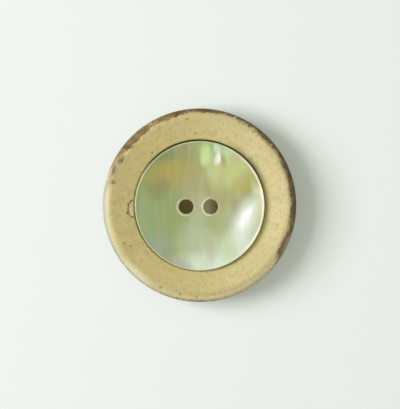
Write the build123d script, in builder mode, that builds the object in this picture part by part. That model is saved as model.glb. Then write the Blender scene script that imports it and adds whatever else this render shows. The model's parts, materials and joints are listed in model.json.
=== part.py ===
from build123d import *
import os
from math import cos, radians, sin, sqrt

# A round sewing button of coconut shell with a mother-of-pearl inlay, in millimetres.
# It lies on its back. The origin is the centre of the ground back, +Z points out of the
# front, and +X runs along the pair of thread holes.

# Coconut body: a disc cut from the nut's shell, which keeps the natural bow of the nut.
# Its pale hollow side is the front, and its dark bulging side is the back.
button_diameter = 28.0
nut_hollow_radius = 55.0
shell_thickness = 3.4
back_flat_diameter = 17.0
rim_round = 1.2
back_edge_bevel = 0.5
pocket_mouth_bevel = 0.08

# Bark flats: places round the rim where the pale lining is worn off down to the dark shell,
# which leaves slanting flats. Each row is the middle of a flat as a share of a turn from
# +X, and its depth as a share of the rim's rounding.
bark_flat_shares = (
    (0.931, 0.20),
    (0.975, 0.17),
    (0.020, 0.15),
    (0.066, 0.16),
    (0.117, 0.13),
    (0.250, 0.09),
    (0.300, 0.17),
    (0.353, 0.24),
    (0.397, 0.20),
    (0.442, 0.12),
)
bark_slant = 45.0

# Mother-of-pearl inlay: a disc with a dished face and a steeper lip round the dish, whose
# edge stands proud of the body. It sits a little off the centre of its pocket.
inlay_diameter = 18.7
inlay_edge_thickness = 1.8
inlay_dish_depth = 0.62
inlay_lip_width = 0.36
inlay_lip_rise = 0.16
inlay_edge_bevel = 0.2
inlay_stand = 0.7
inlay_shift_x = 0.04
inlay_shift_y = -0.09

# Glue: a film under the inlay that has risen into the gap round it
glue_gap = 0.15
glue_film = 0.1
glue_level_below_mouth = 0.3

# Thread holes: a pair drilled by hand through all the pieces, a little off the centre
thread_hole_diameter = 2.1
thread_hole_spacing = 3.57
thread_hole_shift_x = -0.15
thread_hole_shift_y = -0.23
thread_hole_front_easing = 0.2
thread_hole_back_easing = 0.3

# Sizes and heights that follow from the ones above
button_radius = button_diameter / 2
nut_outer_radius = nut_hollow_radius + shell_thickness
back_flat_radius = back_flat_diameter / 2
nut_centre_height = sqrt(nut_outer_radius**2 - back_flat_radius**2)
inlay_radius = inlay_diameter / 2
pocket_radius = inlay_radius + glue_gap
thread_hole_radius = thread_hole_diameter / 2


def front_height(radius):
    """Height of the hollow front at a distance from the button's axis."""
    return nut_centre_height - sqrt(nut_hollow_radius**2 - radius**2)


def back_height(radius):
    """Height of the bulging back at a distance from the button's axis."""
    return nut_centre_height - sqrt(nut_outer_radius**2 - radius**2)


pocket_mouth_height = front_height(pocket_radius)
inlay_top_height = pocket_mouth_height + inlay_stand
inlay_bottom_height = inlay_top_height - inlay_edge_thickness
pocket_floor_height = inlay_bottom_height - glue_film
glue_level_height = pocket_mouth_height - glue_level_below_mouth
dish_radius = inlay_radius - inlay_lip_width
dish_edge_height = inlay_top_height - inlay_lip_rise
dish_bottom_height = dish_edge_height - inlay_dish_depth
dish_curve_radius = (dish_radius**2 + inlay_dish_depth**2) / (2 * inlay_dish_depth)

thread_hole_places = [
    (thread_hole_shift_x + side * thread_hole_spacing / 2, thread_hole_shift_y) for side in (-1, 1)
]

# The centre of the rim's rounding, which touches the front and the side
rim_centre_radius = button_radius - rim_round
rim_centre_height = nut_centre_height - sqrt(
    (nut_hollow_radius + rim_round) ** 2 - rim_centre_radius**2
)


# Coconut body: turned round its axis, with a stepped pocket for the inlay
with BuildPart() as coconut_body:
    rim_corner = (button_radius, front_height(button_radius))
    back_corner = (button_radius, back_height(button_radius))
    mouth_corner = (pocket_radius, pocket_mouth_height)
    middle_of_back = (back_flat_radius + button_radius) / 2
    middle_of_front = (pocket_radius + button_radius) / 2
    with BuildSketch(Plane.XZ) as body_section:
        with BuildLine():
            Line((0, 0), (back_flat_radius, 0))
            ThreePointArc((back_flat_radius, 0), (middle_of_back, back_height(middle_of_back)), back_corner)
            Line(back_corner, rim_corner)
            ThreePointArc(rim_corner, (middle_of_front, front_height(middle_of_front)), mouth_corner)
            Polyline(mouth_corner, (pocket_radius, pocket_floor_height), (0, pocket_floor_height), (0, 0))
        make_face()
        fillet(body_section.vertices().sort_by_distance(rim_corner)[0], rim_round)
        chamfer(body_section.vertices().sort_by_distance(back_corner)[0], back_edge_bevel)
        chamfer(body_section.vertices().sort_by_distance(mouth_corner)[0], pocket_mouth_bevel)
    revolve(axis=Axis.Z)

    # Each bark flat slices the rim's rounding along a plane, so it fades out at both its ends
    for turn_share, depth_share in bark_flat_shares:
        outward = Vector(1, 0, 0).rotate(Axis.Z, 360 * turn_share)
        across_bark = outward * cos(radians(bark_slant)) + Vector(0, 0, sin(radians(bark_slant)))
        rim_centre = outward * rim_centre_radius + Vector(0, 0, rim_centre_height)
        flat_middle = rim_centre + across_bark * (rim_round * (1 - depth_share))
        with BuildSketch(Plane(flat_middle, z_dir=across_bark)):
            Rectangle(button_radius, button_radius)
        extrude(amount=rim_round, mode=Mode.SUBTRACT)

    with Locations(*thread_hole_places):
        Hole(thread_hole_radius)
    back_hole_edges = coconut_body.faces().sort_by(Axis.Z)[0].inner_wires().edges()
    chamfer(back_hole_edges, thread_hole_back_easing)
coconut_body.part.label = "coconut_body"


# Mother-of-pearl inlay: turned with a dished face and a lip, its outer edge bevelled
with BuildPart() as shell_inlay:
    inlay_place = Vector(inlay_shift_x, inlay_shift_y)
    lip_corner = (inlay_radius, inlay_top_height)
    dish_edge = (dish_radius, dish_edge_height)
    middle_of_dish = dish_radius / 2
    dish_centre_height = dish_bottom_height + dish_curve_radius
    middle_height = dish_centre_height - sqrt(dish_curve_radius**2 - middle_of_dish**2)
    with BuildSketch(Plane(inlay_place, Plane.XZ.x_dir, Plane.XZ.z_dir)) as inlay_section:
        with BuildLine():
            Polyline(
                (0, dish_bottom_height),
                (0, inlay_bottom_height),
                (inlay_radius, inlay_bottom_height),
                lip_corner,
                dish_edge,
            )
            ThreePointArc(dish_edge, (middle_of_dish, middle_height), (0, dish_bottom_height))
        make_face()
        chamfer(inlay_section.vertices().sort_by_distance(lip_corner)[0], inlay_edge_bevel)
    revolve(axis=Axis(inlay_place, Axis.Z.direction))
    with Locations(*thread_hole_places):
        Hole(thread_hole_radius)
    dish_face = shell_inlay.faces().filter_by(GeomType.SPHERE).sort_by(SortBy.AREA)[-1]
    chamfer(dish_face.inner_wires().edges(), thread_hole_front_easing)
shell_inlay.part.label = "shell_inlay"


# Glue bed: fills what the inlay leaves of its pocket, up to a little below the mouth
with BuildPart() as glue_bed:
    with BuildSketch(Plane.XY.offset(pocket_floor_height)):
        Circle(pocket_radius)
    extrude(amount=glue_level_height - pocket_floor_height)
    with BuildSketch(Plane.XY.offset(inlay_bottom_height)):
        with Locations(inlay_place):
            Circle(inlay_radius)
    extrude(amount=glue_level_height - inlay_bottom_height, mode=Mode.SUBTRACT)
    with Locations(*thread_hole_places):
        Hole(thread_hole_radius)
glue_bed.part.label = "glue_bed"


os.makedirs("parts", exist_ok=True)
for piece in (coconut_body, shell_inlay, glue_bed):
    export_step(piece.part, f"parts/{piece.part.label}.step")
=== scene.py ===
import json
from math import asin, atan2, cos, hypot, pi, radians, sin, sqrt, tan

import bpy
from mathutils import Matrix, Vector, noise


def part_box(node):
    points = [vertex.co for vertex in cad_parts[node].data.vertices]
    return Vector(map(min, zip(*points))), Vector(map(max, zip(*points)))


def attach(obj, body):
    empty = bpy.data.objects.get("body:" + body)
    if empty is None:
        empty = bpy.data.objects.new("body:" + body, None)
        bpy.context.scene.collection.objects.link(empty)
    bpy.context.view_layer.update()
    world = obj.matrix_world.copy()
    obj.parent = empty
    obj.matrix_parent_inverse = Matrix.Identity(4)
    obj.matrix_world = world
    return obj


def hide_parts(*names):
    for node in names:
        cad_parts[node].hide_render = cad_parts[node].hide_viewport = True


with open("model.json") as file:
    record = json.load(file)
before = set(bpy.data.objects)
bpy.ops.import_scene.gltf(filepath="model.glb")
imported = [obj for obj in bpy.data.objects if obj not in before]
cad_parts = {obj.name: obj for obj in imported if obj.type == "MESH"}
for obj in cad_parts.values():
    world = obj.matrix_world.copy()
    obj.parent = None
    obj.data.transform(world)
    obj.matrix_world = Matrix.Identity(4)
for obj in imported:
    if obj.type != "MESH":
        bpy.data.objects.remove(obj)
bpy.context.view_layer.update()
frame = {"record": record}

# Coconut body
# One disc sawn from a coconut's shell, so it keeps the bow of the nut: the pale lining of the hollow side is
# its front, and the dark shell of the bulging side its back. It is turned, bored with a pocket for the inlay,
# ground flat behind and rounded at the rim, where the lining has worn off down to the dark bark in places.
mm = 0.001
body_low, body_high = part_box("coconut_body")
glue_low, glue_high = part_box("glue_bed")
button_radius = (body_high.y - body_low.y) / 2
pocket_radius = (glue_high.x - glue_low.x) / 2
pocket_floor = glue_low.z
nut_hollow_radius = 55.0 * mm
nut_outer_radius = 58.4 * mm
back_flat_radius = 8.5 * mm
rim_round = 1.2 * mm
back_edge_bevel = 0.5 * mm
pocket_mouth_bevel = 0.08 * mm
middle_cap_radius = 3.7 * mm
nut_centre_height = sqrt(nut_outer_radius**2 - back_flat_radius**2)
rim_centre = Vector((button_radius - rim_round, 0, body_high.z - rim_round))
thread_holes = [mount for mount in frame["record"]["mounts"] if mount["kind"] == "bore"]
thread_hole_places = [Vector((mount["pos_m"][0], mount["pos_m"][1], 0)) for mount in thread_holes]
thread_hole_radius = thread_holes[0]["dims"]["r_mm"] * mm
thread_hole_back_easing = 0.3 * mm
drill_overrun = 0.4 * mm
drill_turn_steps = 96
body_turn_steps = 720
merged_below = 0.001 * mm
smooth_below = radians(40)


def run(first, last, steps):
    """Points of a straight stretch of a section, from its first point up to but not at its last."""
    return [tuple(a + (b - a) * step / steps for a, b in zip(first, last)) for step in range(steps)]


def arc(centre, radius, first_turn, last_turn, steps):
    """Points of a round stretch of a section, from its first point up to but not at its last."""
    turns = [first_turn + (last_turn - first_turn) * step / steps for step in range(steps)]
    return [(centre[0] + radius * cos(turn), centre[1] + radius * sin(turn)) for turn in turns]


def turned(name, section, steps):
    """Turns a section of (distance from the axis, height) points round Z, with both its ends left open."""
    bpy.ops.object.select_all(action="DESELECT")
    bpy.ops.mesh.primitive_plane_add(size=mm)
    piece = bpy.context.object
    piece.name = name
    bpy.ops.object.mode_set(mode="EDIT")
    bpy.ops.mesh.select_mode(type="VERT")
    bpy.ops.mesh.merge(type="CENTER")
    bpy.ops.transform.translate(value=(section[0][0], 0, section[0][1]))
    for here, there in zip(section, section[1:]):
        step = (there[0] - here[0], 0, there[1] - here[1])
        bpy.ops.mesh.extrude_region_move(TRANSFORM_OT_translate={"value": step})
    bpy.ops.mesh.select_all(action="SELECT")
    bpy.ops.mesh.spin(steps=steps, angle=2 * pi, center=(0, 0, 0), axis=(0, 0, 1))
    bpy.ops.mesh.select_all(action="SELECT")
    bpy.ops.mesh.remove_doubles(threshold=merged_below)
    bpy.ops.object.mode_set(mode="OBJECT")
    return piece


def close_ends(piece):
    """Fills the open ends of a turned piece with flat caps and turns its faces outwards."""
    bpy.context.view_layer.objects.active = piece
    bpy.ops.object.mode_set(mode="EDIT")
    bpy.ops.mesh.select_all(action="SELECT")
    bpy.ops.mesh.fill_holes(sides=0)
    bpy.ops.mesh.select_all(action="SELECT")
    bpy.ops.mesh.normals_make_consistent(inside=False)
    bpy.ops.object.mode_set(mode="OBJECT")


def drilled(piece, bit_section):
    """Drills the thread holes through a piece with a pair of turned bits."""
    bits = []
    for place in thread_hole_places:
        bit = turned("thread_drill", bit_section, drill_turn_steps)
        close_ends(bit)
        bit.location = place
        bits.append(bit)
    for bit in bits:
        bit.select_set(True)
    bpy.ops.object.join()
    bits = bpy.context.object
    cut = piece.modifiers.new("thread holes", "BOOLEAN")
    cut.object = bits
    cut.operation = "DIFFERENCE"
    cut.solver = "EXACT"
    bpy.context.view_layer.objects.active = piece
    bpy.ops.object.modifier_apply(modifier=cut.name)
    bpy.data.objects.remove(bits)


def smoothed(piece, angle):
    """Shades a piece smooth, apart from the edges that turn by more than an angle."""
    bpy.ops.object.select_all(action="DESELECT")
    piece.select_set(True)
    bpy.context.view_layer.objects.active = piece
    bpy.ops.object.shade_smooth_by_angle(angle=angle)


def front_height(radius):
    """Height of the hollow front at a distance from the button's axis."""
    return nut_centre_height - sqrt(nut_hollow_radius**2 - radius**2)


def back_height(radius):
    """Height of the bulging back at a distance from the button's axis."""
    return nut_centre_height - sqrt(nut_outer_radius**2 - radius**2)


nut_centre = (0, nut_centre_height)
mouth_radius = pocket_radius + pocket_mouth_bevel
mouth_bevel_height = front_height(pocket_radius) - pocket_mouth_bevel
rim_meets_front = rim_centre.x * nut_hollow_radius / (nut_hollow_radius + rim_round)
rim_meets_turn = asin(rim_meets_front / nut_hollow_radius)
back_bevel_radius = button_radius - back_edge_bevel
back_bevel_height = back_height(button_radius) + back_edge_bevel
downward = -pi / 2
body_section = (
    run((middle_cap_radius, pocket_floor), (pocket_radius, pocket_floor), steps=6)
    + run((pocket_radius, pocket_floor), (pocket_radius, mouth_bevel_height), steps=4)
    + run((pocket_radius, mouth_bevel_height), (mouth_radius, front_height(mouth_radius)), steps=2)
    + arc(
        nut_centre,
        nut_hollow_radius,
        downward + asin(mouth_radius / nut_hollow_radius),
        downward + rim_meets_turn,
        steps=26,
    )
    + arc((rim_centre.x, rim_centre.z), rim_round, pi / 2 + rim_meets_turn, 0, steps=22)
    + run((button_radius, rim_centre.z), (button_radius, back_bevel_height), steps=9)
    + run((button_radius, back_bevel_height), (back_bevel_radius, back_height(back_bevel_radius)), steps=4)
    + arc(
        nut_centre,
        nut_outer_radius,
        downward + asin(back_bevel_radius / nut_outer_radius),
        downward + asin(back_flat_radius / nut_outer_radius),
        steps=18,
    )
    + run((back_flat_radius, 0), (middle_cap_radius, 0), steps=8)
    + [(middle_cap_radius, 0)]
)
body = turned("coconut_disc", body_section, body_turn_steps)
close_ends(body)
drilled(
    body,
    [
        (thread_hole_radius + thread_hole_back_easing + drill_overrun, -drill_overrun),
        (thread_hole_radius, thread_hole_back_easing),
        (thread_hole_radius, pocket_floor + drill_overrun),
    ],
)

# The worn flats of the rim: the middle of each as a share of a turn from +X, and its depth as a share of the
# rim's rounding, on planes that slant down and outwards
bark_slant = radians(45)
bark_flat_shares = (
    (0.931, 0.20),
    (0.975, 0.17),
    (0.020, 0.15),
    (0.066, 0.16),
    (0.117, 0.13),
    (0.250, 0.09),
    (0.300, 0.17),
    (0.353, 0.24),
    (0.397, 0.20),
    (0.442, 0.12),
)

# How far the bark reaches in from the outline round the turn from +X, as shares of the rim's rounding, how
# ragged its border is, and how much of the lining is worn off it. A reach below zero leaves the lining over
# the edge of the rim and a little down the side.
bark_reach_shares = (
    (0.000, 0.72, 0.26, 0.95),
    (0.014, 0.62, 0.24, 1.00),
    (0.042, 0.64, 0.20, 1.00),
    (0.069, 0.45, 0.16, 1.00),
    (0.097, 0.31, 0.16, 1.00),
    (0.125, 0.36, 0.20, 1.00),
    (0.144, 0.47, 0.24, 0.95),
    (0.167, 0.52, 0.24, 0.72),
    (0.180, 0.30, 0.14, 0.85),
    (0.208, 0.33, 0.12, 0.85),
    (0.222, 0.44, 0.14, 0.90),
    (0.247, 0.54, 0.14, 0.90),
    (0.269, 0.44, 0.16, 0.75),
    (0.292, 0.64, 0.20, 1.00),
    (0.311, 0.66, 0.24, 0.95),
    (0.325, 0.60, 0.28, 0.72),
    (0.336, 0.70, 0.26, 0.60),
    (0.344, 0.80, 0.24, 0.80),
    (0.358, 1.02, 0.22, 1.00),
    (0.374, 0.82, 0.22, 0.95),
    (0.389, 0.98, 0.22, 1.00),
    (0.400, 0.66, 0.26, 0.80),
    (0.408, 0.54, 0.32, 0.72),
    (0.425, 0.28, 0.30, 0.60),
    (0.450, 0.04, 0.20, 0.45),
    (0.464, -0.02, 0.16, 0.35),
    (0.475, -0.10, 0.14, 0.30),
    (0.489, -0.22, 0.10, 0.60),
    (0.540, -0.14, 0.08, 1.00),
    (0.580, -0.02, 0.08, 0.90),
    (0.610, 0.06, 0.08, 0.85),
    (0.639, 0.05, 0.08, 0.80),
    (0.694, 0.08, 0.10, 0.80),
    (0.728, 0.20, 0.12, 0.85),
    (0.750, 0.16, 0.12, 0.85),
    (0.778, 0.03, 0.08, 0.80),
    (0.833, 0.00, 0.08, 0.80),
    (0.890, 0.05, 0.10, 0.80),
    (0.907, 0.42, 0.14, 0.60),
    (0.915, 0.78, 0.14, 0.70),
    (0.931, 0.72, 0.16, 0.78),
    (0.950, 0.54, 0.16, 0.80),
    (0.972, 0.54, 0.16, 0.80),
    (0.989, 0.72, 0.24, 0.90),
    (1.000, 0.72, 0.26, 0.95),
)
bark_border_width = 0.85 * mm
bark_sinks = 0.07 * mm
bark_roughness = 0.035 * mm
side_sink_share = 0.15
lining_unevenness = 0.012 * mm
bore_skin = 0.02 * mm

# Noises that are added up over a surface: how many waves each has to the millimetre, and its strength
bark_border_waves = ((1.3, 1.0), (3.1, 0.8), (7.0, 0.5))
bark_rough_waves = ((2.3, 0.5), (5.2, 1.0))
lining_waves = ((1.7, 0.5),)

# Pits and stains of the lining, by their pixel in the photograph, with their radius in pixels and depth
photo_middle = (199.3, 204.9)
photo_pixel = 0.1446 * mm
pits = (
    (161, 287, 1.9, 0.06 * mm),
    (180, 294, 1.6, 0.06 * mm),
    (196.5, 297, 1.6, 0.06 * mm),
    (176.5, 290, 1.1, 0.03 * mm),
    (195.5, 133.5, 1.5, 0.06 * mm),
    (187, 119, 1.7, 0.03 * mm),
    (152.5, 153, 1.5, 0.05 * mm),
    (131, 245.5, 1.4, 0.04 * mm),
    (124.5, 243, 1.8, 0.04 * mm),
    (214.5, 294, 1.2, 0.03 * mm),
    (212, 275, 1.1, 0.03 * mm),
)
pit_fade_share = 1.6
pit_darkness = 0.8
pit_waves = ((3.0, 0.5),)

# The crack beside the pocket runs along an oval that is open at its right
crack_middle = (134.5, 208.5)
crack_half_width = 6.8 * photo_pixel
crack_half_height = 8.6 * photo_pixel
crack_open_share = 0.25
crack_line = 0.22 * mm
crack_depth = 0.08 * mm
crack_darkness = 1.5
crack_wander = 0.25 * mm
crack_wander_waves = ((1.9, 1.0),)
crack_wander_shift = Vector((7, 3, 1))
crack_line_waves = ((1.1, 0.9),)


def on_button(pixel_x, pixel_y):
    """The place on the button that a pixel of the photograph shows."""
    return Vector(((pixel_x - photo_middle[0]) * photo_pixel, (photo_middle[1] - pixel_y) * photo_pixel, 0))


def eased(value, low, high):
    """Rises smoothly from 0 at low to 1 at high."""
    share = min(max((value - low) / (high - low), 0), 1)
    return share * share * (3 - 2 * share)


def uneven(grain, waves, shift=Vector((0, 0, 0))):
    """Adds up noises at a place in millimetres."""
    return sum(strength * noise.noise(grain * scale + shift) for scale, strength in waves)


def bark_reach(turn_share):
    """How far the bark reaches in at a share of a turn, how ragged its border is, and how worn it is."""
    for low, high in zip(bark_reach_shares, bark_reach_shares[1:]):
        if low[0] <= turn_share <= high[0]:
            along = (turn_share - low[0]) / (high[0] - low[0])
            reach, ragged, wear_and_painted_fill = [a + (b - a) * along for a, b in zip(low[1:], high[1:])]
            return reach * rim_round, ragged * rim_round, wear_and_painted_fill


flat_planes = []
for turn_share, depth_share in bark_flat_shares:
    outward = Vector((cos(2 * pi * turn_share), sin(2 * pi * turn_share), 0))
    across_bark = outward * cos(bark_slant) + Vector((0, 0, sin(bark_slant)))
    centre = outward * rim_centre.x + Vector((0, 0, rim_centre.z))
    flat_planes.append((centre + across_bark * rim_round * (1 - depth_share), across_bark))
pit_places = [(on_button(x, y), size * photo_pixel, depth) for x, y, size, depth in pits]
crack_place = on_button(*crack_middle)


def worn_to_flats(place):
    """A place on the rim, brought down to each bark flat that it stands above."""
    for flat_middle, across_bark in flat_planes:
        beyond = (place - flat_middle).dot(across_bark)
        if beyond > 0:
            place = place - across_bark * beyond
    return place


def pitted(flat_place, grain):
    """How much the pits and the crack darken a place on the lining, and how deep they sink it."""
    dark = 0
    sink = 0
    for middle, size, depth in pit_places:
        off_middle = (flat_place - middle).length * (1 + uneven(grain, pit_waves))
        near = 1 - eased(off_middle, 0, size * pit_fade_share)
        dark = max(dark, pit_darkness * near)
        sink += depth * near
    wander_x = uneven(grain, crack_wander_waves)
    wander_y = uneven(grain, crack_wander_waves, crack_wander_shift)
    from_crack = flat_place - crack_place + Vector((wander_x, wander_y, 0)) * crack_wander
    crack_x = from_crack.x / crack_half_width
    crack_y = from_crack.y / crack_half_height
    if crack_x < crack_open_share:
        off_line = abs(hypot(crack_x, crack_y) - 1) * crack_half_width
        near = 1 - eased(off_line, 0, crack_line * (1 + uneven(grain, crack_line_waves)))
        dark = max(dark, min(1, crack_darkness * near))
        sink += crack_depth * near
    return dark, sink


def marked(piece, **markings):
    """Keeps lists of shares, one for each point of a piece, where its finish can read them."""
    for name, shares in markings.items():
        attribute = piece.data.attributes.new(name, "FLOAT", "POINT")
        attribute.data.foreach_set("value", shares)


bark_shares = []
pit_shares = []
bore_shares = []
old_normals = [vertex.normal.copy() for vertex in body.data.vertices]
for vertex, normal in zip(body.data.vertices, old_normals):
    place = vertex.co.copy()
    flat_place = Vector((place.x, place.y, 0))
    across = flat_place.length
    grain = place / mm
    turn_share = (atan2(place.y, place.x) / (2 * pi)) % 1
    on_top = place.z > rim_centre.z
    reach = button_radius - across if on_top else place.z - rim_centre.z
    reach_here, ragged_here, worn_here = bark_reach(turn_share)
    border = reach_here + ragged_here * uneven(grain, bark_border_waves)
    bark = eased(border - reach, -bark_border_width / 2, bark_border_width / 2)
    bark *= worn_here + (1 - worn_here) * eased(-reach, 0, rim_round)
    pit = 0
    sink = 0
    if on_top and across > pocket_radius:
        pit, sink = pitted(flat_place, grain)
        sink += lining_unevenness * (1 - bark) * (0.5 + uneven(grain, lining_waves))
        place = worn_to_flats(place)
    if across > pocket_radius and place.z > back_bevel_height:
        bark_sink = bark_sinks + bark_roughness * (0.5 + uneven(grain, bark_rough_waves))
        sink += bark * bark_sink * max(normal.z, side_sink_share)
    vertex.co = place - normal * sink
    bark_shares.append(bark)
    pit_shares.append(pit)
    off_bore = min((flat_place - hole).length for hole in thread_hole_places) - thread_hole_radius
    bore_shares.append(float(off_bore < bore_skin))
marked(body, bark=bark_shares, pits=pit_shares, bore=bore_shares)
smoothed(body, smooth_below)


def put(tree, kind, inputs=None, **settings):
    """Adds a node to a tree, with its settings, and its inputs set or linked by name or number."""
    made = tree.nodes.new(kind)
    for name, value in settings.items():
        setattr(made, name, value)
    for name, value in (inputs or {}).items():
        if isinstance(value, bpy.types.NodeSocket):
            tree.links.new(value, made.inputs[name])
        else:
            made.inputs[name].default_value = value
    return made


def sums(tree, way, first, second):
    """The value of one sum of two values."""
    return put(tree, "ShaderNodeMath", {0: first, 1: second}, operation=way).outputs[0]


def times(tree, first, second):
    """Two values multiplied."""
    return sums(tree, "MULTIPLY", first, second)


def plus(tree, first, second):
    """Two values added."""
    return sums(tree, "ADD", first, second)


def ranged(tree, value, low, high, to_low=0.0, to_high=1.0):
    """A value eased from one range into another."""
    inputs = {"Value": value, "From Min": low, "From Max": high, "To Min": to_low, "To Max": to_high}
    return put(tree, "ShaderNodeMapRange", inputs, interpolation_type="SMOOTHSTEP").outputs[0]


def mixed(tree, share, first, second, way="MIX"):
    """The colour of two colours mixed by a share."""
    inputs = {0: share, 6: first, 7: second}
    return put(tree, "ShaderNodeMix", inputs, data_type="RGBA", blend_type=way).outputs[2]


def tinted(tree, colour, pattern, levels, tint, strength=1.0):
    """Lays a tint over a colour, coming up as a pattern goes from the first of two levels to the second."""
    return mixed(tree, ranged(tree, pattern, *levels, 0.0, strength), colour, tint)


def placed(tree, way, first, second):
    """The place that one sum of two places gives."""
    return put(tree, "ShaderNodeVectorMath", {0: first, 1: second}, operation=way).outputs[0]


def flattened(tree, place):
    """A place on the object with its height left out, so that a pattern runs straight down."""
    return placed(tree, "MULTIPLY", place, (1, 1, 0))


def distance(tree, place):
    """How far a place lies from the origin."""
    return put(tree, "ShaderNodeVectorMath", {0: place}, operation="LENGTH").outputs["Value"]


def speckled(tree, place, scale, detail=3.0, roughness=0.55, stretch=(1, 1, 1), shift=(0, 0, 0), warp=0.0):
    """A noise between 0 and 1, with so many speckles to the millimetre, stretched along the axes."""
    spread = put(tree, "ShaderNodeMapping", {"Vector": place, "Scale": stretch, "Location": shift}).outputs[0]
    inputs = {"Vector": spread, "Scale": scale, "Detail": detail, "Roughness": roughness, "Distortion": warp}
    return put(tree, "ShaderNodeTexNoise", inputs).outputs[0]


def wandering(tree, place, scale, reach, stretch=(1, 1, 1)):
    """A place that wanders off by up to half a reach, so that what is laid there has an uneven outline."""
    drift = put(tree, "ShaderNodeMapping", {"Vector": place, "Scale": stretch}).outputs[0]
    drift = put(tree, "ShaderNodeTexNoise", {"Vector": drift, "Scale": scale, "Detail": 2.0}).outputs[1]
    drift = placed(tree, "SUBTRACT", drift, (0.5, 0.5, 0.5))
    drift = placed(tree, "MULTIPLY", drift, reach)
    return placed(tree, "ADD", place, drift)


def in_oval(tree, place, middle, half_size, turn=(0, 0, 0)):
    """A place measured from the middle of an oval, so that the oval's edge lies at a distance of one."""
    inputs = {"Vector": place, "Location": middle, "Rotation": turn, "Scale": half_size}
    return put(tree, "ShaderNodeMapping", inputs, vector_type="TEXTURE").outputs[0]


def fading(tree, place, way="SPHERICAL"):
    """A value that fades from 1 at the origin to 0 at a distance of one."""
    return put(tree, "ShaderNodeTexGradient", {"Vector": place}, gradient_type=way).outputs[1]


def on_side(tree, flat, turn, reach, radii, strengths=(0.0, 1.0)):
    """How strongly a place lies on one side of the button, at a turn from +X, and within a ring of it."""
    way = (cos(radians(turn)), sin(radians(turn)), 0)
    along = put(tree, "ShaderNodeVectorMath", {0: flat, 1: way}, operation="DOT_PRODUCT").outputs["Value"]
    return times(tree, ranged(tree, along, *reach, *strengths), ranged(tree, distance(tree, flat), *radii))


def marking(tree, name):
    """The shares that a piece's points keep under a name."""
    return put(tree, "ShaderNodeAttribute", attribute_name=name).outputs["Fac"]


def new_finish(name):
    """A material with its shader, and its places on the object in millimetres."""
    finish = bpy.data.materials.new(name)
    finish.use_nodes = True
    tree = finish.node_tree
    shader = tree.nodes["Principled BSDF"]
    place = put(tree, "ShaderNodeTexCoord").outputs["Object"]
    to_millimetres = (1 / mm, 1 / mm, 1 / mm)
    place = put(tree, "ShaderNodeMapping", {"Vector": place, "Scale": to_millimetres}).outputs[0]
    return finish, tree, shader, place


def linked(tree, shader, **sockets):
    """Links values to the shader's sockets, whose names are written with underscores."""
    for name, value in sockets.items():
        tree.links.new(value, shader.inputs[name.replace("_", " ")])


def painted(piece, finish):
    """Gives a piece one finish all over."""
    piece.data.materials.clear()
    piece.data.materials.append(finish)


# A soft oval of tint, laid over the colour below it
patch_group = bpy.data.node_groups.new("soft_patch", "ShaderNodeTree")
for name, kind in (
    ("Place", "NodeSocketVector"),
    ("Middle", "NodeSocketVector"),
    ("Half Size", "NodeSocketVector"),
    ("Turn", "NodeSocketVector"),
    ("Below", "NodeSocketColor"),
    ("Tint", "NodeSocketColor"),
    ("Strength", "NodeSocketFloat"),
):
    patch_group.interface.new_socket(name=name, in_out="INPUT", socket_type=kind)
patch_group.interface.new_socket(name="Colour", in_out="OUTPUT", socket_type="NodeSocketColor")
given = put(patch_group, "NodeGroupInput").outputs
oval = in_oval(patch_group, given["Place"], given["Middle"], given["Half Size"], given["Turn"])
oval = ranged(patch_group, fading(patch_group, oval), 0.0, 0.75)
oval = times(patch_group, oval, given["Strength"])
put(patch_group, "NodeGroupOutput", {"Colour": mixed(patch_group, oval, given["Below"], given["Tint"])})


def patched(tree, place, colour, patches):
    """Lays soft patches over a colour, each with its middle's pixel, half size, turn, tint and strength."""
    for pixel_x, pixel_y, half_width, half_height, turn, tint, strength in patches:
        patch = {
            "Place": place,
            "Middle": on_button(pixel_x, pixel_y) / mm,
            "Half Size": (half_width, half_height, 1),
            "Turn": (0, 0, radians(turn)),
            "Below": colour,
            "Tint": (*tint, 1),
            "Strength": strength,
        }
        colour = put(tree, "ShaderNodeGroup", patch, node_tree=patch_group).outputs[0]
    return colour


# The finish of the coconut: a satin tan lining with pinkish, olive and brown mottles, scuffed at the rim, and
# the brown fibrous bark. The back is darker, with pale strands, and its ground flat shows the ends of the
# fibres that run through the shell.
coconut, tree, shader, place = new_finish("coconut_shell")
lining_tan = (0.580, 0.495, 0.208, 1)
lining_clean_and_sheen = (0.670, 0.595, 0.305, 1)
lining_pink = (0.625, 0.490, 0.228, 1)
lining_olive = (0.550, 0.510, 0.165, 1)
lining_stain = (0.400, 0.315, 0.120, 1)
lining_scuffed = (0.570, 0.535, 0.340, 1)
lining_grey = (0.420, 0.410, 0.310, 1)
lining_painted_fill = (0.840, 0.755, 0.420, 1)
lining_painted_shadow_tint = (0.560, 0.500, 0.130, 1)
bark_dark = (0.090, 0.062, 0.022, 1)
bark_brown = (0.220, 0.158, 0.057, 1)
bark_olive = (0.260, 0.205, 0.060, 1)
bark_rust = (0.270, 0.150, 0.058, 1)
bark_fleck = (0.460, 0.340, 0.200, 1)
worn_fringe = (0.430, 0.310, 0.130, 1)
grime_and_shade = (0.260, 0.235, 0.085, 1)
pit_dark = (0.170, 0.120, 0.040, 1)
bore_brown = (0.480, 0.320, 0.085, 1)
ground_brown = (0.170, 0.095, 0.040, 1)
ground_dark = (0.075, 0.040, 0.017, 1)
ground_fibre = (0.430, 0.300, 0.150, 1)
back_dark = (0.052, 0.029, 0.013, 1)
back_brown = (0.120, 0.068, 0.029, 1)
back_strand = (0.270, 0.172, 0.085, 1)
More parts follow.
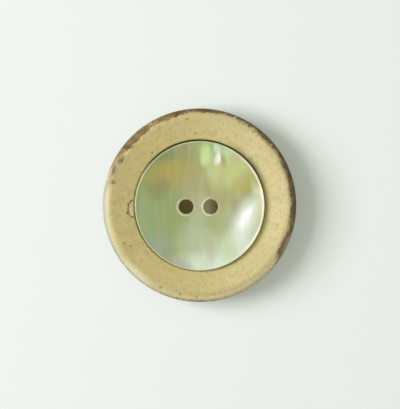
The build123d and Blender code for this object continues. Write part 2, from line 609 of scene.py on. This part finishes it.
# Stains of the lining: pixel, half width and height in millimetres, turn, tint and strength
lining_patches = (
    (134, 209, 0.9, 1.2, 0, (0.690, 0.530, 0.300), 0.70),
    (262, 258, 3.2, 2.2, 40, (0.590, 0.510, 0.230), 0.60),
    (129, 250, 2.0, 1.6, 30, (0.520, 0.390, 0.170), 0.50),
    (136.8, 273.5, 0.9, 4.6, 48, (0.690, 0.650, 0.390), 0.65),
    (272, 266, 0.45, 2.6, -40, (0.880, 0.800, 0.460), 0.70),
    (114, 172, 0.9, 3.6, -22, (0.330, 0.250, 0.125), 0.75),
    (121, 159.5, 0.5, 1.1, -30, (0.160, 0.108, 0.045), 0.90),
    (114, 170, 0.40, 1.1, -20, (0.150, 0.105, 0.045), 0.95),
    (113.3, 182, 0.45, 0.4, -12, (0.170, 0.120, 0.050), 0.90),
    (108.5, 173, 0.45, 3.2, -20, (0.640, 0.530, 0.400), 0.80),
    (122, 182, 1.8, 3.6, -10, (0.520, 0.470, 0.210), 0.40),
    (160, 282, 2.6, 1.4, -25, (0.570, 0.450, 0.200), 0.40),
    (205, 120, 3.0, 1.1, 0, (0.600, 0.500, 0.260), 0.45),
    (248, 272, 1.8, 0.5, 35, (0.480, 0.400, 0.170), 0.35),
)
# The place where the bark has paled, given in the same way
bark_patches = ((287, 243.5, 0.55, 2.8, -24, (0.460, 0.360, 0.240), 0.85),)
coconut_relief = 0.03 * mm
coconut_relief_strength = 0.5
coconut_gloss = 0.35
bark_extra_roughness = 0.15

flat = flattened(tree, place)
across = distance(tree, flat)
sideways, _, upwards = put(tree, "ShaderNodeSeparateXYZ", {0: place}).outputs
broad = speckled(tree, place, scale=0.30, detail=2.0, roughness=0.5, shift=(3, 7, 0))
patchy = speckled(tree, place, scale=0.9, roughness=0.6, shift=(11, 2, 0))
mottled = speckled(tree, place, scale=0.65, roughness=0.6, shift=(5, 1, 0))
grainy = speckled(tree, place, scale=2.2, roughness=0.6, stretch=(1.0, 0.7, 1.0))
fine = speckled(tree, place, scale=5.0, roughness=0.65)

# The lining is paler towards the right, partly cleaner and partly a painted sheen where its hollow faces the
# window, and more mottled and soiled at the left
colour = tinted(tree, lining_tan, sideways, (-3.0, 10.5), lining_clean_and_sheen)
mottling = ranged(tree, sideways, 8.0, -8.0, 0.35, 0.70)
soiled = ranged(tree, sideways, 4.0, -13.0, 0.10, 0.8)
colour = tinted(tree, colour, broad, (0.42, 0.62), lining_pink, 0.4)
colour = mixed(tree, times(tree, ranged(tree, mottled, 0.50, 0.62), mottling), colour, lining_pink)
colour = mixed(tree, times(tree, ranged(tree, patchy, 0.50, 0.62), mottling), colour, lining_olive)
colour = tinted(tree, colour, grainy, (0.50, 0.34), lining_stain, 0.36)
stain = times(tree, ranged(tree, patchy, 0.54, 0.36), ranged(tree, fine, 0.34, 0.70))
colour = mixed(tree, times(tree, stain, soiled), colour, lining_stain)

# Its rim is scuffed at the left, with a grey edge. At the lower right it is painted pale, as painted fill
# light on the rounding that turns from the window, round a faint ring of painted shade
scuffed = on_side(tree, flat, turn=203, reach=(6.0, 11.5), radii=(12.8, 13.6), strengths=(0.1, 0.85))
colour = mixed(tree, scuffed, colour, lining_scuffed)
grey_edge = on_side(tree, flat, turn=203, reach=(7.0, 12.0), radii=(13.55, 13.80), strengths=(0.0, 0.9))
colour = mixed(tree, grey_edge, colour, lining_grey)
wear_and_painted_fill = on_side(tree, flat, turn=303, reach=(5.0, 12.8), radii=(13.0, 13.45), strengths=(0.0, 0.62))
colour = mixed(tree, wear_and_painted_fill, colour, lining_painted_fill)
# Painted shade: a faint darker ring just inside the pale band
painted_shade_ring = on_side(tree, flat, turn=303, reach=(6.0, 10.0), radii=(12.3, 12.8), strengths=(0.0, 0.25))
painted_shade_ring = times(tree, painted_shade_ring, ranged(tree, across, 13.3, 13.0))
colour = mixed(tree, painted_shade_ring, colour, lining_stain)
colour = patched(tree, wandering(tree, flat, scale=1.4, reach=(0.6, 0.6, 0)), colour, lining_patches)

# Faint turning lines run round the mouth of the pocket. Beside it at the upper right lies grime that is also
# painted shade, deepening and widening the inlay's shadow there, and at the right an olive tint is painted
# where the inlay's shadow falls, to warm that shadow
turning = put(tree, "ShaderNodeCombineXYZ", {0: across}).outputs[0]
turning = speckled(tree, turning, scale=3.5, detail=2.0, roughness=0.5)
turning_lines = times(tree, ranged(tree, turning, 0.50, 0.40), ranged(tree, across, 10.9, 9.6))
colour = mixed(tree, times(tree, turning_lines, 0.30), colour, lining_stain)
grime_and_shade_mask = on_side(tree, flat, turn=42, reach=(8.6, 10.2), radii=(10.5, 9.5))
grime_and_shade_mask = times(tree, grime_and_shade_mask, ranged(tree, patchy, 0.34, 0.56, 0.45, 0.95))
colour = mixed(tree, grime_and_shade_mask, colour, grime_and_shade)
painted_shadow_tint = on_side(tree, flat, turn=345, reach=(5.5, 9.0), radii=(10.3, 9.6), strengths=(0.0, 0.7))
colour = mixed(tree, painted_shadow_tint, colour, lining_painted_shadow_tint)

# The bark is mottled with rust and olive, and darkest along the outer edge at the upper right of the rim,
# where painted shade deepens the bark's own dark on the side turned from the window
fibre = speckled(tree, place, scale=2.6, detail=5.0, roughness=0.65, stretch=(1, 1, 2.2))
bark_colour = tinted(tree, bark_dark, fibre, (0.38, 0.56), bark_brown)
bark_colour = tinted(tree, bark_colour, mottled, (0.50, 0.58), bark_rust, 0.65)
bark_colour = tinted(tree, bark_colour, patchy, (0.50, 0.60), bark_olive, 0.8)
bark_colour = tinted(tree, bark_colour, patchy, (0.46, 0.36), bark_dark, 0.7)
bark_colour = tinted(tree, bark_colour, fibre, (0.60, 0.74), bark_fleck)
bark_dark_and_shade_edge = on_side(tree, flat, turn=50, reach=(5.0, 8.5), radii=(13.4, 13.8), strengths=(0.0, 0.60))
bark_colour = mixed(tree, bark_dark_and_shade_edge, bark_colour, bark_dark)
paled_bark = patched(tree, flat, bark_colour, bark_patches)
ragged_height = plus(tree, upwards, ranged(tree, fibre, 0.3, 0.7, -0.4, 0.4))
bark_colour = tinted(tree, bark_colour, ragged_height, (2.7, 3.5), paled_bark)

# On the back it is dark, with long strands, up to the flat that is ground into it
strands = speckled(tree, place, 1.5, 4.0, 0.65, stretch=(1, 0.10, 0.5), shift=(9, 4, 0), warp=0.2)
back_colour = tinted(tree, back_dark, strands, (0.40, 0.56), back_brown)
back_colour = tinted(tree, back_colour, strands, (0.58, 0.70), back_strand, 0.8)
bark_colour = tinted(tree, bark_colour, ragged_height, (1.8, 0.9), back_colour, 0.92)
fibre_ends = speckled(tree, place, 2.4, 4.0, 0.6, stretch=(1, 0.28, 1), warp=0.3)
ground_colour = tinted(tree, ground_dark, fibre_ends, (0.36, 0.52), ground_brown)
ground_colour = tinted(tree, ground_colour, fibre_ends, (0.60, 0.68), ground_fibre)
bark_colour = tinted(tree, bark_colour, upwards, (0.06, 0.01), ground_colour)

# The lining gives way to the bark along a torn fringe, and the pits and the drilled walls lie over both
bark = marking(tree, "bark")
torn = plus(tree, bark, ranged(tree, fibre, 0.3, 0.7, -0.30, 0.30))
colour = tinted(tree, colour, torn, (0.10, 0.50), worn_fringe, 0.9)
colour = tinted(tree, colour, torn, (0.36, 0.78), bark_colour)
colour = tinted(tree, colour, marking(tree, "pits"), (0.10, 1.00), pit_dark, 0.80)
bore = times(tree, marking(tree, "bore"), ranged(tree, upwards, 0.26, 0.46))
colour = mixed(tree, bore, colour, bore_brown)
roughness = ranged(tree, fine, 0.3, 0.7, 0.42, 0.52)
roughness = plus(tree, roughness, times(tree, bark, bark_extra_roughness))
height = plus(tree, times(tree, fine, 0.3), times(tree, fibre, bark))
height = sums(tree, "SUBTRACT", height, times(tree, turning_lines, 0.3))
relief = {"Strength": coconut_relief_strength, "Distance": coconut_relief, "Height": height}
relief = put(tree, "ShaderNodeBump", relief).outputs[0]
shader.inputs["Specular IOR Level"].default_value = coconut_gloss
linked(tree, shader, Base_Color=colour, Roughness=roughness, Normal=relief)
painted(body, coconut)
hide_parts("coconut_body")
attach(body, "root")

# Glue bed
# The hardened dark resin that holds the inlay: a film under it, which has risen into the gap round it and
# dried with a hollow surface between the two walls.
inlay_low, inlay_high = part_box("shell_inlay")
inlay_middle = Vector(((inlay_low.x + inlay_high.x) / 2, (inlay_low.y + inlay_high.y) / 2, 0))
inlay_radius = (inlay_high.x - inlay_low.x) / 2
inlay_bottom = inlay_low.z
glue_level = glue_high.z
glue_hollow = 0.05 * mm
glue_sag_share = 1.5
glue_waves = ((0.8, 0.5),)
glue_rise = 0.22 * mm
glue_rise_turn = radians(208)
glue_rise_range = (-0.3, 0.6)
glue_turn_steps = 288
height_tolerance = 0.01 * mm
glue_section = (
    run((middle_cap_radius, inlay_bottom), (inlay_radius, inlay_bottom), steps=6)
    + run((inlay_radius, inlay_bottom), (inlay_radius, glue_level), steps=5)
    + run((inlay_radius, glue_level), (pocket_radius, glue_level), steps=5)
    + run((pocket_radius, glue_level), (pocket_radius, pocket_floor), steps=5)
    + run((pocket_radius, pocket_floor), (middle_cap_radius, pocket_floor), steps=6)
    + [(middle_cap_radius, pocket_floor)]
)
glue = turned("glue_ring", glue_section, glue_turn_steps)
close_ends(glue)
for vertex in glue.data.vertices:
    across = hypot(vertex.co.x, vertex.co.y)
    towards_inlay = 1 - eased(across, inlay_radius, pocket_radius)
    in_gap = (across - inlay_radius) / (pocket_radius - inlay_radius)
    if vertex.co.z > glue_level - height_tolerance:
        sag = 0.5 + uneven(vertex.co / mm, glue_waves)
        vertex.co.z -= glue_hollow * (4 * in_gap * (1 - in_gap) + glue_sag_share * sag)
        risen = cos(atan2(vertex.co.y, vertex.co.x) - glue_rise_turn)
        vertex.co.z += glue_rise * eased(risen, *glue_rise_range)
    if vertex.co.z > pocket_floor + height_tolerance:
        vertex.co += inlay_middle * towards_inlay
drilled(
    glue,
    [
        (thread_hole_radius, pocket_floor - drill_overrun),
        (thread_hole_radius, inlay_bottom + drill_overrun),
    ],
)
smoothed(glue, smooth_below)

# The finish of the glue: a dark cloudy resin, paler in the gap at the left and at the bottom
resin, tree, shader, place = new_finish("dark_resin")
resin_dark = (0.030, 0.022, 0.003, 1)
resin_brown = (0.085, 0.060, 0.020, 1)
# Paler places in the gap: pixel, half width and height in millimetres, turn, tint and strength
resin_patches = (
    (139, 186, 3.6, 6.8, 0, (0.360, 0.340, 0.150), 0.95),
    (199, 271, 7.0, 2.5, 0, (0.300, 0.255, 0.105), 0.95),
    (150, 252, 4.5, 4.5, 0, (0.200, 0.175, 0.060), 0.80),
)
cloudy = speckled(tree, place, scale=2.2, roughness=0.6)
colour = tinted(tree, resin_dark, cloudy, (0.45, 0.70), resin_brown)
colour = patched(tree, flattened(tree, place), colour, resin_patches)
roughness = ranged(tree, cloudy, 0.3, 0.7, 0.28, 0.45)
linked(tree, shader, Base_Color=colour, Roughness=roughness)
painted(glue, resin)
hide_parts("glue_bed")
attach(glue, "root")

# Mother-of-pearl inlay
# One disc turned from the shell of a pearl oyster, with a dished and polished face, a steeper lip round the
# dish and an edge that stands proud of the coconut. It is glued into its pocket and drilled with the body.
dish_lip_width = 0.36 * mm
dish_lip_rise = 0.16 * mm
dish_depth = 0.62 * mm
inlay_edge_bevel = 0.2 * mm
inlay_stand = 0.7 * mm
thread_hole_front_easing = 0.2 * mm
inlay_turn_steps = 288
inlay_smooth_below = radians(32)
dish_grid_span = 72
inlay_top = front_height(pocket_radius) + inlay_stand
dish_radius = inlay_radius - dish_lip_width
dish_edge = inlay_top - dish_lip_rise
dish_bottom = dish_edge - dish_depth
dish_curve_radius = (dish_radius**2 + dish_depth**2) / (2 * dish_depth)
dish_centre = (0, dish_bottom + dish_curve_radius)
lip_slope = atan2(dish_lip_rise, dish_lip_width)
lip_end_radius = inlay_radius - inlay_edge_bevel * cos(lip_slope)
lip_end_height = inlay_top - inlay_edge_bevel * sin(lip_slope)
lip_round = inlay_edge_bevel * tan((pi / 2 - lip_slope) / 2)
lip_round_centre = (inlay_radius - lip_round, inlay_top - inlay_edge_bevel)


def dish_height(radius):
    """Height of the dish at a distance from the inlay's axis."""
    return dish_bottom + dish_curve_radius - sqrt(dish_curve_radius**2 - radius**2)


def on_dish_rim(point):
    """Whether a point lies on the open rim in the middle of the turned dish."""
    on_rim = abs(hypot(point.x, point.y) - middle_cap_radius) < height_tolerance
    return on_rim and point.z > (inlay_bottom + dish_bottom) / 2


inlay_section = (
    arc(
        dish_centre,
        dish_curve_radius,
        downward + asin(middle_cap_radius / dish_curve_radius),
        downward + asin(dish_radius / dish_curve_radius),
        steps=32,
    )
    + run((dish_radius, dish_edge), (lip_end_radius, lip_end_height), steps=4)
    + arc(lip_round_centre, lip_round, pi / 2 + lip_slope, 0, steps=7)
    + run((inlay_radius, inlay_top - inlay_edge_bevel), (inlay_radius, inlay_bottom), steps=6)
    + run((inlay_radius, inlay_bottom), (middle_cap_radius, inlay_bottom), steps=5)
    + [(middle_cap_radius, inlay_bottom)]
)
inlay = turned("pearl_inlay", inlay_section, inlay_turn_steps)

# A grid fills the middle of the dish and is bowed with it
for part in (*inlay.data.vertices, *inlay.data.edges, *inlay.data.polygons):
    part.select = False
for edge in inlay.data.edges:
    ends = [inlay.data.vertices[number] for number in edge.vertices]
    if all(on_dish_rim(end.co) for end in ends):
        for part in (edge, *ends):
            part.select = True
bpy.ops.object.mode_set(mode="EDIT")
bpy.ops.mesh.select_mode(type="EDGE")
bpy.ops.mesh.fill_grid(span=dish_grid_span)
bpy.ops.object.mode_set(mode="OBJECT")
for vertex in inlay.data.vertices:
    across = hypot(vertex.co.x, vertex.co.y)
    if across < middle_cap_radius - height_tolerance:
        vertex.co.z = dish_height(across)
close_ends(inlay)
for vertex in inlay.data.vertices:
    vertex.co += inlay_middle
hole_dish_height = dish_height(thread_hole_places[1].x)
eased_radius = thread_hole_radius + thread_hole_front_easing
easing_centre = (eased_radius, hole_dish_height - thread_hole_front_easing)
drilled(
    inlay,
    [(thread_hole_radius, inlay_bottom - drill_overrun)]
    + arc(easing_centre, thread_hole_front_easing, pi, pi / 2, steps=6)
    + [(eased_radius, hole_dish_height), (eased_radius, inlay_top + drill_overrun)],
)
smoothed(inlay, inlay_smooth_below)

# The edges of the holes are eased and dull, painted pale at their left as a painted glow of light that comes
# through the nacre, and their walls are brown
chalk_from = 0.2 * mm
chalk_to = 0.44 * mm
chalk_turn = radians(188)
chalk_facing = (0.25, 0.85)
edge_glow_waves = ((2.5, 0.45),)
dull_from = 0.12 * mm
dull_to = 0.26 * mm
chalk_shares = []
dull_shares = []
bore_shares = []
for vertex in inlay.data.vertices:
    chalk = 0
    dull = 0
    bore = 0
    for place in thread_hole_places:
        from_hole = vertex.co - place
        off_edge = hypot(from_hole.x, from_hole.y) - thread_hole_radius
        facing = 0.5 + 0.5 * cos(atan2(from_hole.y, from_hole.x) - chalk_turn)
        glowing = eased(facing, *chalk_facing) + uneven(vertex.co / mm, edge_glow_waves)
        dull = max(dull, 1 - eased(off_edge, dull_from, dull_to))
        if off_edge < bore_skin:
            bore = 1
        else:
            chalk = max(chalk, min(max(glowing, 0), 1) * (1 - eased(off_edge, chalk_from, chalk_to)))
    chalk_shares.append(chalk)
    dull_shares.append(dull)
    bore_shares.append(bore)
marked(inlay, chalk=chalk_shares, dull=dull_shares, bore=bore_shares)

# The finish of the nacre: patches of tint lie over each other, as the pearl's layers do, and the palest of
# them are painted highlights over the lustre, the lip and the knot
pearl, tree, shader, place = new_finish("mother_of_pearl")
grey_green = (0.335, 0.420, 0.155, 1)
chalk_white = (0.730, 0.700, 0.500, 1)
dull_olive = (0.380, 0.360, 0.190, 1)
pearl_bore_brown = (0.520, 0.390, 0.120, 1)
lip_pale = (0.680, 0.720, 0.470, 1)
lip_painted_highlight = (0.980, 0.940, 0.700, 1)
band_rose = (0.560, 0.470, 0.280, 1)
band_mint = (0.540, 0.680, 0.430, 1)
streak_shade = (0.97, 0.97, 0.96, 1)
nacre_shade = (0.91, 0.91, 0.91, 1)
# Tints of the nacre and painted highlights: pixel, half width and height in millimetres, turn, tint and
# strength
pearl_patches = (
    (146, 226, 3.8, 7.0, 0, (0.345, 0.455, 0.205), 0.8),
    (156, 248, 3.2, 3.2, 20, (0.340, 0.440, 0.325), 0.75),
    (166, 152, 5.0, 3.0, 35, (0.235, 0.310, 0.105), 0.9),
    (184, 149, 2.8, 2.4, 0, (0.400, 0.380, 0.165), 0.8),
    (177, 173, 7.4, 2.7, 4, (0.490, 0.400, 0.105), 0.95),
    (160, 187, 3.0, 2.2, 0, (0.310, 0.315, 0.135), 0.7),
    (206, 186, 6.5, 5.0, 0, (0.460, 0.438, 0.206), 0.9),
    (200, 208, 3.0, 3.0, 0, (0.520, 0.525, 0.328), 0.75),
    (197, 245, 4.5, 6.0, 0, (0.520, 0.600, 0.360), 0.9),
    (232, 256, 7.0, 5.5, 30, (0.660, 0.770, 0.480), 0.95),
    (206, 266, 6.2, 3.0, 0, (0.765, 0.885, 0.685), 0.95),
    (177, 266, 3.2, 2.2, -20, (0.460, 0.460, 0.330), 0.75),
    (230, 171, 4.8, 4.4, 0, (0.600, 0.660, 0.250), 0.9),
    (214, 170, 1.6, 2.6, 0, (0.640, 0.680, 0.350), 0.6),
    (205, 154, 1.25, 2.5, 0, (0.690, 0.900, 0.410), 0.85),
    (196, 152, 1.4, 3.0, 0, (0.400, 0.470, 0.185), 0.7),
    (228, 150, 1.8, 1.8, 0, (0.590, 0.780, 0.410), 0.8),
    (238, 158, 1.0, 1.0, 0, (0.660, 0.560, 0.360), 0.6),
    (216, 149, 0.9, 1.6, 0, (0.720, 0.880, 0.640), 0.8),
    # painted highlight: the bright spot on the knot, which the knot's bump also lifts
    (216.3, 159, 0.8, 1.4, 0, (0.950, 1.000, 0.900), 0.95),
    (223, 161, 0.8, 1.5, 0, (0.430, 0.390, 0.180), 0.65),
    (233, 206, 2.2, 6.0, -24, (0.540, 0.530, 0.290), 0.8),
    (228, 202, 1.9, 2.4, -20, (0.440, 0.415, 0.175), 0.75),
    (222, 219, 3.2, 2.6, 0, (0.435, 0.485, 0.205), 0.75),
    (210, 247, 1.4, 3.6, 0, (0.545, 0.515, 0.340), 0.6),
    # painted highlight: the pale band over the lustre at the lower right
    (246, 218.5, 3.0, 5.4, -28, (0.900, 0.930, 0.840), 0.78),
    # painted highlight: the glow between the lustre and the lip
    (259.5, 211, 1.2, 5.0, -16, (0.800, 0.770, 0.500), 0.65),
    (244, 184, 3.2, 1.8, 12, (0.500, 0.435, 0.105), 0.72),
    # painted highlight: the white core of the lustre
    (246, 217, 1.0, 3.0, -28, (1.000, 1.000, 1.000), 0.9),
    # painted highlight: the bright lip at the upper right
    (258.5, 191, 0.9, 1.8, 25, (0.920, 0.840, 0.540), 0.6),
    # painted highlight: the glow below the lustre
    (246, 242, 1.6, 2.4, -40, (0.820, 0.880, 0.760), 0.5),
)
steady = flattened(tree, place)
layered = wandering(tree, steady, scale=0.45, reach=(2.0, 2.2, 0), stretch=(1.0, 0.5, 1.0))
colour = patched(tree, layered, grey_green, pearl_patches)
streaks = speckled(tree, place, scale=1.0, detail=2.0, roughness=0.5, stretch=(1.5, 0.18, 1))
streaked = mixed(tree, 1.0, colour, streak_shade, "MULTIPLY")
colour = tinted(tree, colour, streaks, (0.62, 0.38), streaked)
bands = speckled(tree, place, 0.60, 2.0, 0.5, stretch=(1.2, 0.12, 1), shift=(4, 0, 0))
colour = tinted(tree, colour, bands, (0.52, 0.70), band_rose, 0.22)
colour = tinted(tree, colour, bands, (0.48, 0.30), band_mint, 0.22)
colour = mixed(tree, 1.0, colour, nacre_shade, "MULTIPLY")

# The lip is paler, and at the right, where it faces the window, a cream painted highlight lies on it
off_middle = placed(tree, "SUBTRACT", place, inlay_middle / mm)
off_middle = distance(tree, flattened(tree, off_middle))
lip = ranged(tree, off_middle, 8.90, 9.25)
colour = mixed(tree, times(tree, lip, 0.35), colour, lip_pale)
sideways = put(tree, "ShaderNodeSeparateXYZ", {0: place}).outputs[0]
lip_highlight = times(tree, lip, ranged(tree, sideways, 4.0, 8.5, 0.0, 0.80))
colour = mixed(tree, lip_highlight, colour, lip_painted_highlight)
# Painted glow: the pale edges at the left of the holes
chalk = marking(tree, "chalk")
dull = marking(tree, "dull")
colour = mixed(tree, times(tree, dull, 0.7), colour, dull_olive)
colour = mixed(tree, chalk, colour, chalk_white)
colour = mixed(tree, marking(tree, "bore"), colour, pearl_bore_brown)

# The layers under the polish lie in low waves: one is tilted to the window at the lower right, where the
# lustre gathers, another makes a small knot near the top, and faint ripples run upright. Rises are in
# millimetres.
tilt_middle = (246.8, 216)
tilt_half_size = (2.7, 5.6, 1)
tilt_turn = radians(-28)
tilt_rise = 0.68
knot_middle = (219, 160)
knot_half_size = (0.85, 1.2, 1)
knot_rise = 0.09
ripple_rise = 0.004
pearl_coat = 0.15
pearl_coat_roughness = 0.06
pearl_gloss = 0.3
tilt_place = in_oval(tree, steady, on_button(*tilt_middle) / mm, tilt_half_size, (0, 0, tilt_turn))
along_tilt = put(tree, "ShaderNodeSeparateXYZ", {0: tilt_place}).outputs[0]
tilt = times(tree, ranged(tree, fading(tree, tilt_place), 0.0, 0.9), along_tilt)
knot_place = in_oval(tree, layered, on_button(*knot_middle) / mm, knot_half_size)
knot = fading(tree, knot_place, "QUADRATIC_SPHERE")
waves = plus(tree, times(tree, tilt, tilt_rise), times(tree, knot, knot_rise))
waves = plus(tree, waves, times(tree, streaks, ripple_rise))
lustre = put(tree, "ShaderNodeBump", {"Strength": 1.0, "Distance": mm, "Height": waves}).outputs[0]
shader.inputs["Coat Roughness"].default_value = pearl_coat_roughness
shader.inputs["Specular IOR Level"].default_value = pearl_gloss
coat = ranged(tree, sums(tree, "MAXIMUM", chalk, dull), 0.0, 1.0, pearl_coat, 0.0)
roughness = ranged(tree, streaks, 0.3, 0.7, 0.40, 0.48)
linked(tree, shader, Base_Color=colour, Roughness=roughness, Coat_Weight=coat, Normal=lustre)
painted(inlay, pearl)
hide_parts("shell_inlay")
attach(inlay, "root")

# Floor
# A plain pale light table, wide enough for every view. It glows a little, and where the button covers it the
# glow is a dark brown painted shade that shows through the thread holes; its nap leans to the window, so the
# shadow is soft and falls to one side.
floor_size = 3.0
floor_pale = (0.477, 0.478, 0.499, 1)
floor_grain = (0.469, 0.470, 0.491, 1)
floor_glow = (0.302, 0.340, 0.268, 1)
floor_painted_hole_shade = (0.055, 0.045, 0.008, 1)
floor_painted_hole_shade_middle = (0.198, 0.181, 0.080, 1)
floor_painted_hole_shade_right = (0.062, 0.057, 0.026, 1)
floor_nap = (-0.707, 0, 0.707)
floor_roughness = 0.8
bpy.ops.object.select_all(action="DESELECT")
bpy.ops.mesh.primitive_plane_add(size=floor_size)
floor = bpy.context.object
floor.name = "floor"
table, tree, shader, place = new_finish("pale_table")
grain = speckled(tree, place, scale=0.4)
ray = put(tree, "ShaderNodeLightPath").outputs
seen = plus(tree, ray["Is Camera Ray"], ray["Is Glossy Ray"])
nap = put(tree, "ShaderNodeNormal").outputs["Normal"]
nap.default_value = floor_nap
sideways = put(tree, "ShaderNodeSeparateXYZ", {0: place}).outputs[0]
# Painted shade: under the button the glow is dark brown, darker under the left hole than under the right
glow = tinted(tree, floor_painted_hole_shade, sideways, (-0.6, 0.4), floor_painted_hole_shade_middle)
glow = tinted(tree, glow, sideways, (0.7, 2.7), floor_painted_hole_shade_right)
glow = tinted(tree, glow, distance(tree, place), (9.0, 13.0), floor_glow)
linked(tree, shader, Base_Color=mixed(tree, grain, floor_pale, floor_grain))
linked(tree, shader, Emission_Color=glow, Emission_Strength=seen, Normal=nap)
shader.inputs["Roughness"].default_value = floor_roughness
shader.inputs["Specular IOR Level"].default_value = 0.0
painted(floor, table)

# Light
# One soft window at the left, a white card at the right, and even light from the room's ceiling, which is
# dark where the camera hangs.
window_distance = 0.50
window_azimuth = radians(173.2)
window_elevation = radians(36)
window_width = 0.287
window_height = 0.268
window_power = 2.65
room_walls = 0.10
room_ceiling = 0.62
ceiling_rise = (0.55, 0.72)
room_zenith_share = 0.15
zenith_rise = (0.92, 0.97)
card_white = 0.62
card_side = (0.35, 0.75)
card_rise = (0.78, 0.62)
window = bpy.data.lights.new("window", "AREA")
window.shape = "RECTANGLE"
window.size = window_width
window.size_y = window_height
window.energy = window_power
window_object = bpy.data.objects.new("window", window)
bpy.context.scene.collection.objects.link(window_object)
window_object.location = window_distance * Vector(
    (
        cos(window_elevation) * cos(window_azimuth),
        cos(window_elevation) * sin(window_azimuth),
        sin(window_elevation),
    )
)
window_object.rotation_euler = (-window_object.location).to_track_quat("-Z", "Y").to_euler()
room = bpy.data.worlds.new("room")
room.use_nodes = True
tree = room.node_tree
background = tree.nodes["Background"]
direction = put(tree, "ShaderNodeTexCoord").outputs["Generated"]
sideways, _, upwards = put(tree, "ShaderNodeSeparateXYZ", {0: direction}).outputs
overhead = ranged(tree, upwards, *ceiling_rise, room_walls, room_ceiling)
overhead = times(tree, overhead, ranged(tree, upwards, *zenith_rise, 1.0, room_zenith_share))
card = ranged(tree, upwards, *card_rise, 0.0, card_white)
card = times(tree, ranged(tree, sideways, *card_side), card)
tree.links.new(plus(tree, overhead, card), background.inputs["Strength"])
background.inputs["Color"].default_value = (1, 1, 1, 1)
bpy.context.scene.world = room

# Camera
# Straight above the button, far enough away to show it almost without perspective.
picture_height = 409
camera_sensor = 36.0
camera_lens = 200.0
camera_clip = 0.01
camera_place_x = 0.065 * mm
camera_place_y = 0.095 * mm
camera_distance = picture_height * photo_pixel * camera_lens / camera_sensor
camera = bpy.data.cameras.new("camera")
camera.lens = camera_lens
camera.sensor_width = camera_sensor
camera.clip_start = camera_clip
camera_object = bpy.data.objects.new("camera", camera)
bpy.context.scene.collection.objects.link(camera_object)
camera_object.location = (camera_place_x, camera_place_y, rim_centre.z + camera_distance)
bpy.context.scene.camera = camera_object
bpy.context.scene.view_settings.view_transform = "Standard"
